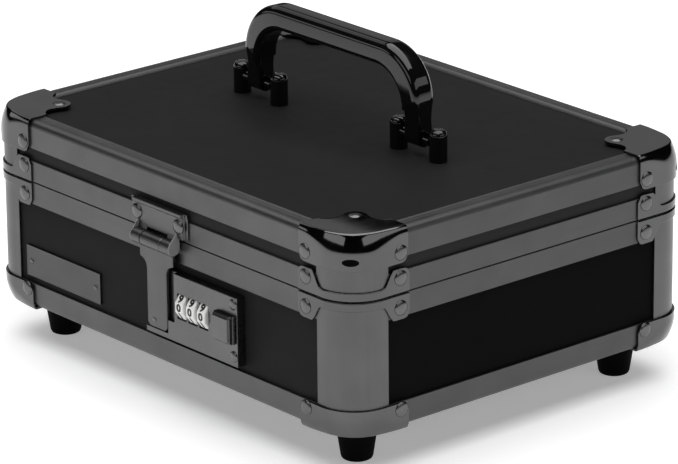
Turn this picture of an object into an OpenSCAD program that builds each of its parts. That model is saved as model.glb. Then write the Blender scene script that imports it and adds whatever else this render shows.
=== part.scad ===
/* [Case] */
// Width of the case across its front
box_w = 267; // [230:1:300]
// Depth of the case from front to back
box_d = 210; // [190:1:240]
// Height of the closed case without feet, caps and handle
body_h = 94.6; // [90:0.2:110]
// Height of the lid, from the parting line up
lid_h = 30.4; // [28:0.2:34]
// Plan radius of the four upright corners
corner_r = 18.5; // [16:0.5:20]
// Thickness of the laminated boards
board_t = 3.2; // [2.8:0.1:3.4]
// Thickness of the lining
lining_t = 1.6; // [1:0.1:2]

/* [Edge rails] */
// Wall thickness of the aluminium edge rails
rail_t = 1.4; // [1.2:0.1:1.6]
// Width of the rails on the top and bottom faces
rail_w = 10.8; // [9:0.1:13]
// Height of the top rails on the lid's sides
top_rail_h = 13.5; // [12:0.1:15]
// Height of the bottom rails on the base's sides
bottom_rail_h = 12.3; // [11:0.1:14]
// Height of the lid's rim rails
lid_rim_h = 10.6; // [9:0.1:11]
// Height of the base's rim rails
base_rim_h = 11.3; // [9:0.1:13]
// Outer edge radius of the top and bottom rails
rail_r = 3.3; // [2.5:0.1:4]
// Width of each wing of the upright corner posts
post_wing = 22.7; // [20:0.1:24]

/* [Corner fittings] */
// Sheet thickness of the corner caps
cap_t = 1.2; // [1:0.1:1.5]
// Reach of the caps from the corner along each side
cap_reach = 33.6; // [32:0.1:36]
// Height of the top caps on the lid's sides
top_cap_h = 15.7; // [14:0.1:17]
// Distance of the cap's top rivet from each side of the corner
tab_inset = 24.6; // [23:0.1:27]
// Radius of the tongue round that rivet
tab_r = 5.6; // [5:0.1:7]
// Sheet thickness of the rim brackets
bracket_t = 0.9; // [0.6:0.1:1.1]
// Reach of the rim brackets from the corner along each side
bracket_reach = 34.6; // [33:0.1:37]
// Height of the rim brackets' riveted wings
bracket_wing_h = 12; // [10:0.1:12.5]
// Height of the rim brackets' strip round the corner
bracket_strip_h = 4; // [3:0.1:5]
// Rivet distance from the corner
rivet_inset = 29.3; // [28:0.1:31]
// Diameter of a corner rivet's head
rivet_d = 7.3; // [6:0.1:8]
// Height of a corner rivet's head
rivet_h = 1.3; // [0.8:0.1:1.6]

/* [Feet] */
// Height of the rubber feet under the bottom caps
foot_h = 19.4; // [12:0.2:24]
// Diameter of a foot at its top
foot_top_d = 20.4; // [18:0.2:24]
// Diameter of a foot at its bottom
foot_bottom_d = 15; // [13:0.2:18]

/* [Handle] */
// Distance between the two legs, centre to centre
leg_pitch = 115; // [100:1:130]
// Distance between the two posts that hold a leg
post_pitch = 27.8; // [26:0.2:30]
// Diameter of a handle post
handle_post_d = 8.6; // [7:0.2:10]
// Height of a handle post above the lid's board
handle_post_h = 15.4; // [13:0.2:16]
// Height of the pivot pins above the lid's board
pivot_h = 9; // [8.6:0.1:10]
// Height of the grip's upper face above the lid's board
handle_h = 51.2; // [45:0.2:60]
// Thickness of the grip's bar
bar_h = 11.6; // [9:0.2:13]
// Depth of the grip's bar, front to back
bar_d = 14; // [12:0.2:14.4]
// Thickness of the legs, side to side
leg_t = 10; // [8:0.2:10.4]
// Depth of the legs at the pivot
leg_d = 9.2; // [8:0.2:11]
// Outer radius of the handle's two bends
bend_r = 25; // [22:0.5:28]
// Inner radius of the handle's two bends
inner_bend_r = 18; // [12:0.5:20]
// Offset of the handle behind the lid's centre line
handle_y = 2.5; // [0:0.5:6]

/* [Hasp] */
// Radius of the hinge barrels
barrel_r = 3.6; // [3.2:0.1:4]
// Distance of the barrel's axis from the case's face
barrel_off = 4.2; // [4:0.1:4.6]
// Height of the hasp's pivot below the parting line
hasp_drop = 2.8; // [2:0.1:4]
// Width of the hasp's leg
hasp_leg_w = 14.4; // [12:0.2:15]
// Width of the hasp's shoulder
hasp_shoulder_w = 24.4; // [20:0.2:26]
// Sheet thickness of the hasp
hasp_t = 2; // [1.6:0.1:2.1]
// Width of the hinge plate on the lid
hinge_plate_w = 41; // [36:0.5:46]

/* [Lock] */
// Height of the lock plate
lock_h = 33.5; // [33:0.1:34.5]
// Depth of the lock plate's lower edge below the parting line
lock_drop = 48.8; // [48.4:0.1:49.4]
// Right edge of the lock plate from the case's centre
lock_right = 58.6; // [56:0.2:64]
// Left edge of the lock plate from the case's centre
lock_left = -8.6; // [-12:0.2:-8.2]
// How far the lock plate stands out of the rails' face
lock_proud = 3.4; // [3.2:0.1:3.6]
// Radius of a dial over its corners
dial_r = 7.4; // [7:0.1:7.4]
// Width of a dial
dial_w = 6; // [5:0.1:6.2]
// Distance between dials
dial_pitch = 8; // [7.6:0.1:8.4]
// Position of the first dial from the case's centre
dial_first_x = 18.1; // [18:0.1:18.6]
// Height of the dials' axis above the lock plate's lower edge
dial_up = 18.2; // [17.6:0.1:18.8]
// Width of the slider button
slider_w = 14; // [11:0.1:14]
// Height of the slider button
slider_h = 13.4; // [11:0.1:14]
// How far the slider button stands out of the lock plate
slider_proud = 3.7; // [2:0.1:4]

/* [Hidden] */
$fn = 64;

black = "#1c1c1e";
aluminium = "#8b8d90";
steel = "#6c6e71";
gunmetal = "#35363a";
rubber = "#0b0b0c";
felt = "#2a2a2e";

// Sides are numbered 0 front, 1 right, 2 back, 3 left.
FRONT = 0;
RIGHT = 1;
BACK = 2;
LEFT = 3;

eps = 0.01;
part_gap = 0.2;
run_gap = 0.05;

z_bottom = foot_h + cap_t;
z_top = z_bottom + body_h;
z_part = z_top - lid_h;
z_floor_board = z_bottom + rail_t;
z_floor = z_floor_board + board_t;
z_lid_board = z_top - rail_t - board_t;
z_panel = z_top - rail_t;
base_rim_top = z_part - part_gap;
lid_rim_bottom = z_part + part_gap;
web_t = 1.2;
inner_leg_t = 1.2;
inner_leg_h = 4.6;
tongue_h = 3;
tongue_gap = 0.4;
rim_w = rail_t + board_t + inner_leg_t;
inset_in = rail_t + board_t;

// Closed outline of the case in plan, moved inwards by inset.
module plan(inset) {
    w = box_w - 2 * inset;
    d = box_d - 2 * inset;
    r = corner_r - inset;
    square([w - 2 * r, d], center = true);
    square([w, d - 2 * r], center = true);
    for (sx = [-1, 1], sy = [-1, 1])
        translate([sx * (w / 2 - r), sy * (d / 2 - r)]) circle(r);
}

// Ring between two insets of the plan.
module plan_ring(outer, inner) {
    difference() {
        plan(outer);
        plan(inner);
    }
}

function side_len(side) = side % 2 == 0 ? box_w : box_d;
function side_off(side) = (side % 2 == 0 ? box_d : box_w) / 2;

// Puts a child drawn on the front face (outwards is -Y, face at y = 0) onto a side.
module on_side(side) {
    rotate([0, 0, 90 * side]) translate([0, -side_off(side), 0]) children();
}

// Puts a child drawn in the corner at the origin, the case lying towards +X and +Y, onto corner i.
module on_corner(i) {
    mirror([i % 2, 0, 0]) mirror([0, floor(i / 2), 0])
        translate([-box_w / 2, -box_d / 2, 0]) children();
}

module on_corners() {
    for (i = [0:3]) on_corner(i) children();
}

// Sweeps a profile (x inwards from the face, y up) along a side between the corner posts.
module side_sweep(side) {
    length = side_len(side) - 2 * post_wing;
    on_side(side) rotate([90, 0, 90]) linear_extrude(length, center = true) children();
}

// Rectangle from the origin with its upper far corner rounded.
module rounded_rect(w, h, r) {
    square([w - r, h]);
    square([w, h - r]);
    translate([w - r, h - r]) circle(r);
}

// ---- boards ----

module board_slab(z, h, inset) {
    translate([0, 0, z]) linear_extrude(h) plan(inset);
}

// Upright board on one side, cut to the rounded plan.
module side_board(side, z0, z1) {
    intersection() {
        translate([0, 0, z0]) linear_extrude(z1 - z0) plan(rail_t);
        on_side(side) translate([-side_len(side) / 2, rail_t, z0])
            cube([side_len(side), board_t, z1 - z0]);
    }
}

base_board_top = base_rim_top - web_t;

module base_side_board(side) {
    color(black) side_board(side, z_floor, base_board_top);
}

lock_z0 = z_part - lock_drop;
dial_z = lock_z0 + dial_up;
dial_depth = lock_proud - 5.2;
housing_side = 2.8;
housing_x0 = dial_first_x - dial_w / 2 - housing_side;
housing_x1 = dial_first_x + 2 * dial_pitch + dial_w / 2 + housing_side;
housing_h = 20;
housing_back = 5.4;

module base_bottom_panel() {
    color(black) board_slab(z_floor_board, board_t, rail_t);
}

module base_front_panel() {
    clear = 0.3;
    color(black) difference() {
        side_board(FRONT, z_floor, base_board_top);
        on_side(FRONT) translate([housing_x0 - clear, 0, dial_z - housing_h / 2 - clear])
            cube([housing_x1 - housing_x0 + 2 * clear, 3 * board_t, housing_h + 2 * clear]);
    }
}

module base_right_panel() {
    base_side_board(RIGHT);
}

module base_back_panel() {
    base_side_board(BACK);
}

module base_left_panel() {
    base_side_board(LEFT);
}

module lid_top_panel() {
    color(black) board_slab(z_lid_board, board_t, rail_t);
}

module lid_side_panels() {
    color(black) for (side = [FRONT:LEFT]) side_board(side, lid_rim_bottom + web_t, z_lid_board);
}

// ---- rails ----

// Angle that wraps the outer edge of the top or bottom board.
module edge_profile(h) {
    difference() {
        translate([rail_w, 0]) mirror([1, 0]) rounded_rect(rail_w, h, rail_r);
        translate([rail_t, -eps]) square([rail_w, h - rail_t + eps]);
    }
}

module bottom_rail(side) {
    color(aluminium) side_sweep(side)
        translate([0, z_bottom + bottom_rail_h]) mirror([0, 1]) edge_profile(bottom_rail_h);
}

module top_rail(side) {
    color(aluminium) side_sweep(side) translate([0, z_top - top_rail_h]) edge_profile(top_rail_h);
}

// Channel on the base's rim with the tongue that guides the lid.
module base_rim_profile(h) {
    tongue_x = rim_w + tongue_gap;
    polygon([
        [0, 0], [rail_t, 0], [rail_t, h - web_t], [inset_in, h - web_t],
        [inset_in, h - inner_leg_h], [rim_w, h - inner_leg_h], [rim_w, h - web_t],
        [tongue_x + inner_leg_t, h - web_t], [tongue_x + inner_leg_t, h + tongue_h],
        [tongue_x, h + tongue_h], [tongue_x, h], [0, h]
    ]);
}

module base_rim_rail(side) {
    h = base_rim_h - part_gap;
    color(aluminium) side_sweep(side) translate([0, base_rim_top - h]) base_rim_profile(h);
}

// Channel on the lid's rim.
module lid_rim_profile(h) {
    polygon([
        [0, 0], [rim_w, 0], [rim_w, inner_leg_h], [inset_in, inner_leg_h],
        [inset_in, web_t], [rail_t, web_t], [rail_t, h], [0, h]
    ]);
}

module lid_rim_rail(side) {
    color(aluminium) side_sweep(side)
        translate([0, lid_rim_bottom]) lid_rim_profile(lid_rim_h - part_gap);
}

module base_bottom_rail_front() { bottom_rail(FRONT); }
module base_bottom_rail_right() { bottom_rail(RIGHT); }
module base_bottom_rail_back() { bottom_rail(BACK); }
module base_bottom_rail_left() { bottom_rail(LEFT); }
module base_rim_rail_front() { base_rim_rail(FRONT); }
module base_rim_rail_right() { base_rim_rail(RIGHT); }
module base_rim_rail_back() { base_rim_rail(BACK); }
module base_rim_rail_left() { base_rim_rail(LEFT); }
module lid_top_rail_front() { top_rail(FRONT); }
module lid_top_rail_right() { top_rail(RIGHT); }
module lid_top_rail_back() { top_rail(BACK); }
module lid_top_rail_left() { top_rail(LEFT); }
module lid_rim_rail_front() { lid_rim_rail(FRONT); }
module lid_rim_rail_right() { lid_rim_rail(RIGHT); }
module lid_rim_rail_back() { lid_rim_rail(BACK); }
module lid_rim_rail_left() { lid_rim_rail(LEFT); }

// ---- corner posts ----

// Part of a plan ring within reach of the corner at the origin.
module corner_ring(outer, inner, reach) {
    outside = 5;
    intersection() {
        translate([box_w / 2, box_d / 2]) plan_ring(outer, inner);
        translate([-outside, -outside]) square(reach + outside);
    }
}

module corner_posts(z0, z1) {
    color(aluminium) on_corners() translate([0, 0, z0])
        linear_extrude(z1 - z0) corner_ring(0, rail_t, post_wing);
}

module base_corner_posts() {
    corner_posts(z_bottom + rail_r, base_rim_top - web_t);
}

module lid_corner_posts() {
    corner_posts(lid_rim_bottom + web_t, z_top - rail_r);
}

// ---- corner caps ----

// Wall and flange of a cap, measured outwards from the corner's upright axis.
module cap_profile(h, flange_from) {
    difference() {
        translate([0, -h]) intersection() {
            rounded_rect(corner_r + cap_t, h + cap_t, rail_r + cap_t);
            translate([flange_from, 0]) square([corner_r + cap_t, h + cap_t]);
        }
        translate([0, -h - eps]) rounded_rect(corner_r, h + eps, rail_r);
    }
}

module cap_wing(h) {
    translate([corner_r, corner_r, 0]) rotate([90, 0, 90]) mirror([1, 0, 0])
        linear_extrude(cap_reach - corner_r) cap_profile(h, corner_r - rail_w);
}

// Flat tongue that carries the cap's third rivet.
module cap_tongue() {
    near = 5;
    wing_edge = 8;
    knee = 12.5;
    polygon([
        [near, near], [cap_reach, near], [cap_reach, wing_edge], [tab_inset + tab_r, knee],
        [tab_inset + tab_r, tab_inset], [tab_inset, tab_inset + tab_r],
        [knee, tab_inset + tab_r], [wing_edge, cap_reach], [near, cap_reach]
    ]);
    translate([tab_inset, tab_inset]) circle(tab_r);
}

// Pressed cap on one corner, upright wall hanging from z = 0.
module corner_cap(h) {
    translate([corner_r, corner_r, 0])
        rotate_extrude(angle = 90, start = 180) cap_profile(h, 0);
    cap_wing(h);
    mirror([1, -1, 0]) cap_wing(h);
    linear_extrude(cap_t) cap_tongue();
}

module top_corner_caps() {
    color(gunmetal) on_corners() translate([0, 0, z_top]) corner_cap(top_cap_h);
}

module bottom_corner_caps() {
    color(steel) on_corners() translate([0, 0, z_bottom]) mirror([0, 0, 1])
        corner_cap(bottom_rail_h);
}

// ---- rim brackets ----

bracket_back = 0.4;

// Saddle bracket on one corner, its flat edge on z = 0 and its wings standing up.
module rim_bracket() {
    wing_from = 19.5;
    outside = 5;
    web_overlap = 0.5;
    translate([0, 0, bracket_back]) linear_extrude(bracket_strip_h)
        corner_ring(-bracket_t, 0, bracket_reach);
    translate([0, 0, bracket_back]) linear_extrude(bracket_wing_h - bracket_back) difference() {
        corner_ring(-bracket_t, 0, bracket_reach);
        translate([-outside, -outside]) square(wing_from + outside);
    }
    linear_extrude(web_t) corner_ring(0, rim_w, post_wing);
    translate([0, 0, bracket_back]) linear_extrude(web_t - bracket_back)
        corner_ring(-bracket_t, web_overlap, post_wing);
}

module lid_rim_brackets() {
    color(gunmetal) on_corners() translate([0, 0, lid_rim_bottom]) rim_bracket();
}

module base_rim_brackets() {
    color(gunmetal) on_corners() translate([0, 0, base_rim_top]) mirror([0, 0, 1]) rim_bracket();
}

// ---- rivets ----

// Domed rivet with its head on z = 0 and its shank going down.
module rivet(d, h, shank) {
    dome_r = (d * d / 4 + h * h) / (2 * h);
    intersection() {
        translate([0, 0, h - dome_r]) sphere(dome_r);
        cylinder(h = h, d = d);
    }
    translate([0, 0, -shank]) cylinder(h = shank + eps, d = d / 2);
}

// Rivet on a side's face at a place along it, standing on a sheet of thickness proud.
module side_rivet(side, along, z, proud) {
    on_side(side) translate([along, -proud, z]) rotate([90, 0, 0])
        rivet(rivet_d, rivet_h, proud + rail_t);
}

module side_rivets(z, proud) {
    for (side = [FRONT:LEFT], s = [-1, 1])
        side_rivet(side, s * (side_len(side) / 2 - rivet_inset), z, proud);
}

leaf_rivet_d = 4.4;
leaf_rivet_h = 0.8;
leaf_t = 1.4;
leaf_w = 42;
leaf_rivets = [-14, 0, 14];
hinge_xs = [-77, 77];

module leaf_rivets_at(z) {
    for (x = hinge_xs, dx = leaf_rivets)
        on_side(BACK) translate([x + dx, -leaf_t, z]) rotate([90, 0, 0])
            rivet(leaf_rivet_d, leaf_rivet_h, leaf_t + rail_t);
}

top_cap_rivet_drop = 10.8;
bottom_cap_rivet_up = 9.2;
lid_bracket_rivet_up = 7.4;
base_bracket_rivet_drop = 6.4;
leaf_rivet_off = 7.2;

module base_rivets() {
    color(steel) {
        side_rivets(z_bottom + bottom_cap_rivet_up, cap_t);
        side_rivets(base_rim_top - base_bracket_rivet_drop, bracket_t);
        leaf_rivets_at(z_part - leaf_rivet_off);
    }
}

module lid_rivets() {
    top_rivet_d = rivet_d - 0.6;
    color(steel) {
        side_rivets(z_top - top_cap_rivet_drop, cap_t);
        side_rivets(lid_rim_bottom + lid_bracket_rivet_up, bracket_t);
        leaf_rivets_at(z_part + leaf_rivet_off);
        on_corners() translate([tab_inset, tab_inset, z_top + cap_t])
            rivet(top_rivet_d, rivet_h, cap_t + rail_t + board_t / 2);
    }
}

// ---- feet ----

module on_feet() {
    on_corners() translate([tab_inset, tab_inset, 0]) children();
}

foot_seat_z = 5;
foot_head_d = 7.2;
foot_shank_d = 4;
foot_clear = 0.2;

module rubber_feet() {
    edge = 1.6;
    edge_mid = 0.3 * edge;
    color(rubber) on_feet() rotate_extrude() difference() {
        polygon([
            [0, 0], [foot_bottom_d / 2 - edge, 0],
            [foot_bottom_d / 2 - edge_mid, edge_mid], [foot_bottom_d / 2, edge],
            [foot_top_d / 2, foot_h], [0, foot_h]
        ]);
        square([foot_shank_d / 2 + foot_clear / 2, foot_h]);
        square([foot_head_d / 2 + foot_clear, foot_seat_z]);
    }
}

module foot_screws() {
    head_h = 2.4;
    bite = 2;
    color(steel) on_feet() {
        translate([0, 0, foot_seat_z - head_h]) cylinder(h = head_h, d = foot_head_d);
        translate([0, 0, foot_seat_z - eps])
            cylinder(h = z_floor_board + bite - foot_seat_z, d = foot_shank_d);
    }
}

// ---- lining, ledges and tray ----

module base_lining() {
    top = base_rim_top - inner_leg_h - part_gap;
    window_side = 4;
    window_up = 3;
    window_x0 = housing_x0 - window_side;
    window_x1 = housing_x1 + window_side;
    color(felt) difference() {
        translate([0, 0, z_floor])
            linear_extrude(top - z_floor) plan(inset_in);
        translate([0, 0, z_floor + lining_t])
            linear_extrude(body_h) plan(inset_in + lining_t);
        on_side(FRONT) translate([window_x0, 0, dial_z - housing_h / 2 - window_up])
            cube([window_x1 - window_x0, inset_in + 2 * lining_t, housing_h + 2 * window_up]);
    }
}

inner_w = box_w - 2 * (inset_in + lining_t);
inner_d = box_d - 2 * (inset_in + lining_t);
tray_gap = 5;
tray_front_gap = 16;
tray_h = 34;
tray_top = base_rim_top - 3;
tray_w = inner_w - 2 * tray_gap;
tray_y0 = -box_d / 2 + tray_front_gap;
tray_y1 = inner_d / 2 - tray_gap;
ledge_w = tray_gap + 5;
ledge_d = 150;

module tray_ledges() {
    z0 = z_floor + lining_t;
    color(felt) for (s = [-1, 1])
        translate([s * (inner_w - ledge_w) / 2, 0, (z0 + tray_top - tray_h) / 2])
            cube([ledge_w, ledge_d, tray_top - tray_h - z0], center = true);
}

tray_t = 1.6;
coin_rows = 5;
note_rows = 4;
coin_d = 56;

tray_corner_r = 6;
tray_pocket_r = 2;

// Rectangle from x, y with four rounded corners.
module rounded_plan(x, y, w, d, r) {
    translate([x + r, y]) square([w - 2 * r, d]);
    translate([x, y + r]) square([w, d - 2 * r]);
    for (px = [r, w - r], py = [r, d - r]) translate([x + px, y + py]) circle(r);
}

// Pocket cut down into the tray.
module tray_pocket(x, y, w, d, depth) {
    translate([0, 0, tray_top - depth]) linear_extrude(depth + 1)
        rounded_plan(x, y, w, d, tray_pocket_r);
}

module money_tray() {
    depth = tray_h - tray_t;
    coin_pitch = (tray_w - tray_t) / coin_rows;
    note_pitch = (tray_w - tray_t) / note_rows;
    note_y = tray_y0 + coin_d + 2 * tray_t;
    color(black) difference() {
        translate([0, 0, tray_top - tray_h]) linear_extrude(tray_h)
            rounded_plan(-tray_w / 2, tray_y0, tray_w, tray_y1 - tray_y0, tray_corner_r);
        for (i = [0:coin_rows - 1])
            tray_pocket(-tray_w / 2 + tray_t + i * coin_pitch, tray_y0 + tray_t,
                coin_pitch - tray_t, coin_d, depth);
        for (i = [0:note_rows - 1])
            tray_pocket(-tray_w / 2 + tray_t + i * note_pitch, note_y,
                note_pitch - tray_t, tray_y1 - tray_t - note_y, depth);
    }
}

module lid_lining() {
    screw_clear_d = 11;
    bottom = lid_rim_bottom + inner_leg_h + part_gap;
    color(felt) difference() {
        translate([0, 0, bottom]) linear_extrude(z_lid_board - bottom) plan(inset_in);
        linear_extrude(z_lid_board - lining_t) plan(inset_in + lining_t);
        on_handle_posts() translate([0, 0, z_lid_board - 2 * lining_t])
            cylinder(h = 3 * lining_t, d = screw_clear_d);
    }
}

// ---- back hinges ----

knuckles = 5;
knuckle_gap = 0.3;
hinge_pin_r = 1.5;

// Knuckle number i of a hinge barrel centred on x = 0, on the axis y = 0, z = 0.
module knuckle(i, width, count, r, bore_r) {
    step = width / count;
    translate([-width / 2 + i * step + knuckle_gap / 2, 0, 0]) rotate([0, 90, 0]) difference() {
        cylinder(h = step - knuckle_gap, r = r);
        translate([0, 0, -1]) cylinder(h = step + 2, r = bore_r);
    }
}

// Leaf from the case's face to its own knuckles; up is +1 for the lid's leaf.
module hinge_leaf(first, up) {
    step = leaf_w / knuckles;
    leaf_h = 11.5;
    part_clear = 0.3;
    clear = barrel_r + 0.4;
    web_h = barrel_r - 0.7;
    difference() {
        union() {
            translate([-leaf_w / 2, -leaf_t, up > 0 ? clear : -leaf_h])
                cube([leaf_w, leaf_t, leaf_h - clear]);
            for (i = [first:2:knuckles - 1]) {
                translate([-leaf_w / 2 + i * step + knuckle_gap / 2, 0, 0]) {
                    translate([0, -leaf_t, up > 0 ? part_clear : -clear - leaf_t])
                        cube([step - knuckle_gap, leaf_t, clear + leaf_t - part_clear]);
                    translate([0, -barrel_off, up > 0 ? part_clear : -part_clear - web_h])
                        cube([step - knuckle_gap, barrel_off, web_h]);
                }
                translate([0, -barrel_off, 0]) knuckle(i, leaf_w, knuckles, barrel_r, hinge_pin_r);
            }
        }
        translate([-leaf_w, -barrel_off, 0]) rotate([0, 90, 0])
            cylinder(h = 2 * leaf_w, r = up > 0 ? hinge_pin_r + run_gap : hinge_pin_r);
    }
}

module hinge_base_leaves() {
    color(gunmetal) for (x = hinge_xs)
        on_side(BACK) translate([x, 0, z_part]) hinge_leaf(0, -1);
}

module hinge_lid_leaves() {
    color(gunmetal) for (x = hinge_xs)
        on_side(BACK) translate([x, 0, z_part]) hinge_leaf(1, 1);
}

module hinge_pins() {
    color(steel) for (x = hinge_xs)
        on_side(BACK) translate([x - leaf_w / 2, -barrel_off, z_part]) rotate([0, 90, 0])
            cylinder(h = leaf_w, r = hinge_pin_r);
}

// ---- hasp ----

hasp_z = z_part - hasp_drop;
hasp_mid_w = 14.4;
hasp_outer_x = 14;
hasp_pin_r = 1.5;
hasp_front = lock_proud + 0.3;
hasp_plate_t = 2.2;
hasp_end_z = lock_z0 + 3;
shoulder_top = hasp_z - barrel_r - 0.6;

// Plate on the lid with the two outer knuckles of the hasp's hinge.
module hasp_hinge_plate() {
    plate_z0 = z_part + 1.8;
    plate_z1 = z_part + 14.2;
    half_w = hinge_plate_w / 2;
    slope = 3;
    edge_t = 0.6;
    ridge = 0.9;
    ridge_h = 1;
    web_in = 0.6;
    knuckle_w = hasp_outer_x - hasp_mid_w / 2 - knuckle_gap;
    color(steel) on_side(FRONT) difference() {
        union() {
            translate([0, 0, plate_z0]) linear_extrude(plate_z1 - plate_z0) polygon([
                [-half_w, 0], [-half_w, -edge_t], [-half_w + slope, -hasp_plate_t],
                [half_w - slope, -hasp_plate_t], [half_w, -edge_t], [half_w, 0]
            ]);
            translate([-half_w + slope, -hasp_plate_t - ridge, plate_z1 - ridge_h])
                cube([2 * (half_w - slope), hasp_plate_t, ridge_h]);
            for (s = [-1, 1]) {
                x0 = s > 0 ? hasp_outer_x - knuckle_w : -hasp_outer_x;
                translate([x0, -barrel_off, hasp_z]) rotate([0, 90, 0])
                    cylinder(h = knuckle_w, r = barrel_r);
                translate([x0, -barrel_off + web_in, hasp_z])
                    cube([knuckle_w, barrel_off - 2 * web_in, plate_z0 - hasp_z + ridge_h]);
            }
        }
        translate([-hasp_outer_x - 1, -barrel_off, hasp_z]) rotate([0, 90, 0])
            cylinder(h = 2 * hasp_outer_x + 2, r = hasp_pin_r);
    }
}

module hasp_pin() {
    color(steel) on_side(FRONT) translate([-hasp_outer_x, -barrel_off, hasp_z]) rotate([0, 90, 0])
        cylinder(h = 2 * hasp_outer_x, r = hasp_pin_r);
}

// Outline of the hasp seen from the front: shoulder, curved neck and leg.
module hasp_outline() {
    sw = hasp_shoulder_w / 2;
    lw = hasp_leg_w / 2;
    neck_r = sw - lw;
    shoulder_h = 6;
    z1 = shoulder_top - shoulder_h;
    translate([-lw, hasp_end_z]) square([2 * lw, shoulder_top - hasp_end_z]);
    translate([-sw, z1]) square([2 * sw, shoulder_h]);
    difference() {
        translate([-sw, z1 - neck_r]) square([2 * sw, neck_r + eps]);
        for (s = [-1, 1]) translate([s * sw, z1 - neck_r]) circle(neck_r);
    }
}

module hasp_arm() {
    mid = hasp_mid_w / 2;
    color(steel) on_side(FRONT) difference() {
        union() {
            translate([0, -hasp_front + hasp_t, 0]) rotate([90, 0, 0])
                linear_extrude(hasp_t) hasp_outline();
            translate([-mid, -hasp_front, shoulder_top - eps])
                cube([2 * mid, hasp_t, hasp_z - shoulder_top]);
            translate([-mid, -barrel_off, hasp_z]) rotate([0, 90, 0])
                cylinder(h = 2 * mid, r = barrel_r);
        }
        translate([-mid - 1, -barrel_off, hasp_z]) rotate([0, 90, 0])
            cylinder(h = 2 * mid + 2, r = hasp_pin_r + run_gap);
    }
}

catch_w = 6;
catch_h = 4.4;
catch_z0 = hasp_end_z + 1;

// Lug riveted to the back of the hasp's leg.
module hasp_catch() {
    reach = hasp_front - hasp_t + 0.8;
    color(steel) on_side(FRONT) translate([-catch_w / 2, -hasp_front + hasp_t, catch_z0])
        cube([catch_w, reach, catch_h]);
}

module hasp_rivets() {
    spread = 15.2;
    up = 7.8;
    color(steel) for (s = [-1, 1])
        on_side(FRONT) translate([s * spread, -hasp_plate_t, z_part + up]) rotate([90, 0, 0])
            rivet(rivet_d, rivet_h, hasp_plate_t + rail_t);
}

// ---- lock ----

recess_right = 12.3;
recess_floor = 1.2;
recess_up = 9.3;
catch_slot_w = catch_w + 1.2;
bolt_z0 = lock_z0 + 4.4;
bolt_h = 4;
bolt_tip_x = catch_w / 2 + 1;
bolt_back = -1;
bolt_front = 0.6;
slider_x0 = 43.2;
slider_travel = 4;
slider_z0 = dial_z - slider_h / 2 - 0.5;
stem_x0 = 46;
stem_w = 4;
stem_h = 6;

// Cuts a box from the lock: from x0 to x1, from depth d0 outwards to d1, from z0 to z1.
module lock_box(x0, x1, d0, d1, z0, z1) {
    on_side(FRONT) translate([x0, -d1, z0]) cube([x1 - x0, d1 - d0, z1 - z0]);
}

module lock_plate() {
    back = -rail_t;
    z1 = lock_z0 + lock_h;
    wall = 2;
    cap_wall = 1.2;
    window_h = 12.2;
    window_side = 0.35;
    front_wall = 0.6;
    clear = 0.3;
    leg_clear = 0.4;
    slot_x0 = stem_x0 - clear;
    slot_x1 = stem_x0 + stem_w + slider_travel + clear;
    channel_front = bolt_front + 0.2;
    color(steel) difference() {
        union() {
            lock_box(lock_left, lock_right, back, lock_proud, lock_z0, z1);
            lock_box(housing_x0, housing_x1, -housing_back, back + 1,
                dial_z - housing_h / 2, dial_z + housing_h / 2);
        }
        // Recess round the hasp's leg, open at the top and the left
        lock_box(lock_left - 1, recess_right, recess_floor, lock_proud + 1, lock_z0 + recess_up, z1 + 1);
        // Narrower recess for the leg's end
        lock_box(lock_left - 1, hasp_leg_w / 2 + leg_clear, recess_floor, lock_proud + 1,
            hasp_end_z - leg_clear, z1 + 1);
        // Slot for the catch
        lock_box(-catch_slot_w / 2, catch_slot_w / 2, back - 1, lock_proud, hasp_end_z - leg_clear, z1 + 1);
        // Pocket behind the dial windows
        lock_box(housing_x0 + wall, housing_x1 - wall, -housing_back - 1, lock_proud - front_wall,
            dial_z - housing_h / 2 + cap_wall, dial_z + housing_h / 2 - cap_wall);
        for (i = [0:2]) {
            x = dial_first_x + i * dial_pitch;
            lock_box(x - dial_w / 2 - window_side, x + dial_w / 2 + window_side, 0, lock_proud + 1,
                dial_z - window_h / 2, dial_z + window_h / 2);
        }
        // Channel for the bolt and slot for the slider's stem
        lock_box(0, slot_x1, back - 1, channel_front, bolt_z0 - clear, bolt_z0 + bolt_h + clear);
        lock_box(slot_x0, slot_x1, back - 1, channel_front, bolt_z0 - clear, dial_z + stem_h / 2 + clear);
        lock_box(slot_x0, slot_x1, back - 1, lock_proud + 1, dial_z - stem_h / 2 - clear,
            dial_z + stem_h / 2 + clear);
    }
}

// Cover behind the front board that encloses the dials.
module lock_case() {
    wall = 1.2;
    flange = 2;
    x0 = housing_x0 - flange;
    x1 = housing_x1 + flange;
    z0 = dial_z - housing_h / 2 - flange;
    z1 = dial_z + housing_h / 2 + flange;
    deep = 7;
    color(steel) difference() {
        lock_box(x0, x1, -inset_in - deep, -inset_in, z0, z1);
        lock_box(x0 + wall, x1 - wall, -inset_in - deep + wall, 0, z0 + wall, z1 - wall);
    }
}

module lock_rivets() {
    d = 5.4;
    h = 1;
    inset_x = 2.8;
    low_up = 4.7;
    top_down = 3.4;
    color(steel) for (z = [lock_z0 + low_up, lock_z0 + lock_h - top_down])
        on_side(FRONT) translate([lock_right - inset_x, -lock_proud, z]) rotate([90, 0, 0])
            rivet(d, h, lock_proud + rail_t);
}

axle_r = 2;

module dial_axle() {
    end_gap = 0.4;
    color(steel) on_side(FRONT) translate([housing_x0 + end_gap, -dial_depth, dial_z])
        rotate([0, 90, 0]) cylinder(h = housing_x1 - housing_x0 - 2 * end_gap, r = axle_r);
}

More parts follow.
